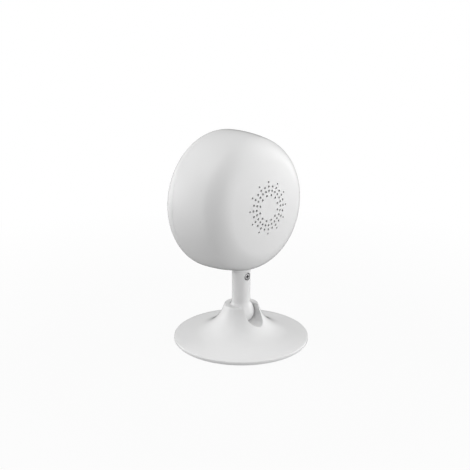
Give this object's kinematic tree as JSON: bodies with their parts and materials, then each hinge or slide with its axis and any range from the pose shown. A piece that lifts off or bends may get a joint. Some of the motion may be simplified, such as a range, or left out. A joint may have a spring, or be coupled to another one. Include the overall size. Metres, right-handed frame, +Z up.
{
  "type": "smart speaker camera",
  "caption": "Round smart-home camera head with a rear loudspeaker rosette, on a slim swivel neck with a ball joint and a flared weighted stand.",
  "frame": {"origin": "middle of the stand's foot, on the surface it stands on", "axes": "+Z up along the neck, -Y towards the head's front, +Y towards its loudspeaker, +X towards the head's own left"},
  "size_m": [0.0674, 0.0666, 0.1023],
  "materials": {
    "white_plastic": "satin",
    "black_window": "gloss",
    "dark_plastic": "matte",
    "trim_metal": "satin",
    "lens_glass": "gloss",
    "steel": "satin",
    "magnet": "matte",
    "rubber": "matte",
    "board": "satin",
    "antenna_board": "satin",
    "chip": "matte",
    "sensor_metal": "satin",
    "lamp_clear": "gloss",
    "plunger": "matte",
    "mesh_cloth": "matte",
    "cone_paper": "matte",
    "copper": "satin",
    "lead_cover": "satin"
  },
  "bodies": {
    "base": {"base_cover": "white_plastic", "ball_cup": "white_plastic", "disc_springs": "steel", "ballast_ring": "steel", "base_plate": "steel", "base_screws": "steel", "foot_pad": "rubber"},
    "neck": {"neck": "white_plastic", "neck_screw": "steel"},
    "head": {"board_screws": "steel", "camera_connector": "dark_plastic", "card_socket": "steel", "dust_mesh": "mesh_cloth", "frame_screws": "steel", "friction_ring": "rubber", "front_bezel": "white_plastic", "front_lens": "lens_glass", "front_window": "black_window", "head_stem": "steel", "image_sensor": "chip", "ir_board": "board", "ir_header": "dark_plastic", "ir_leds": "lamp_clear", "lens_barrel": "dark_plastic", "lens_holder": "dark_plastic", "lens_ring": "trim_metal", "light_guide": "lamp_clear", "light_sensor": "lamp_clear", "main_board": "board", "mic_gasket": "rubber", "microphone": "sensor_metal", "mid_frame": "dark_plastic", "processor": "chip", "rear_lens": "lens_glass", "rear_shell": "white_plastic", "sensor_board": "board", "shield_can": "steel", "speaker_frame": "dark_plastic", "speaker_gasket": "rubber", "speaker_leads": "lead_cover", "speaker_magnet": "magnet", "status_led": "lamp_clear", "stem_nut": "steel", "tact_switch": "dark_plastic", "usb_socket": "steel", "usb_tongue": "dark_plastic", "wifi_antenna": "antenna_board"},
    "cone": {"speaker_cone": "cone_paper", "voice_coil": "copper"},
    "reset": {"reset_button": "white_plastic", "switch_plunger": "plunger"}
  },
  "joints": [
    {"name": "neck_tilt", "type": "hinge", "parent": "base", "child": "neck", "pos_m": [0, 0, 0.0141], "axis": [-1, 0, 0], "range_deg": [-10, 65]},
    {"name": "head_swivel", "type": "hinge", "parent": "neck", "child": "head", "pos_m": [0, 0, 0.0348], "axis": [0, 0, 1], "continuous": true},
    {"name": "reset_press", "type": "slide", "parent": "head", "child": "reset", "axis": [0.9205, 0, 0.3907], "range_m": [0, 0.0005], "stiffness_N_per_m": 1000, "springref_m": -0.0008},
    {"name": "cone_travel", "type": "slide", "parent": "head", "child": "cone", "axis": [0, 1, 0], "range_m": [-0.0003, 0.0003], "stiffness_N_per_m": 1000}
  ]
}
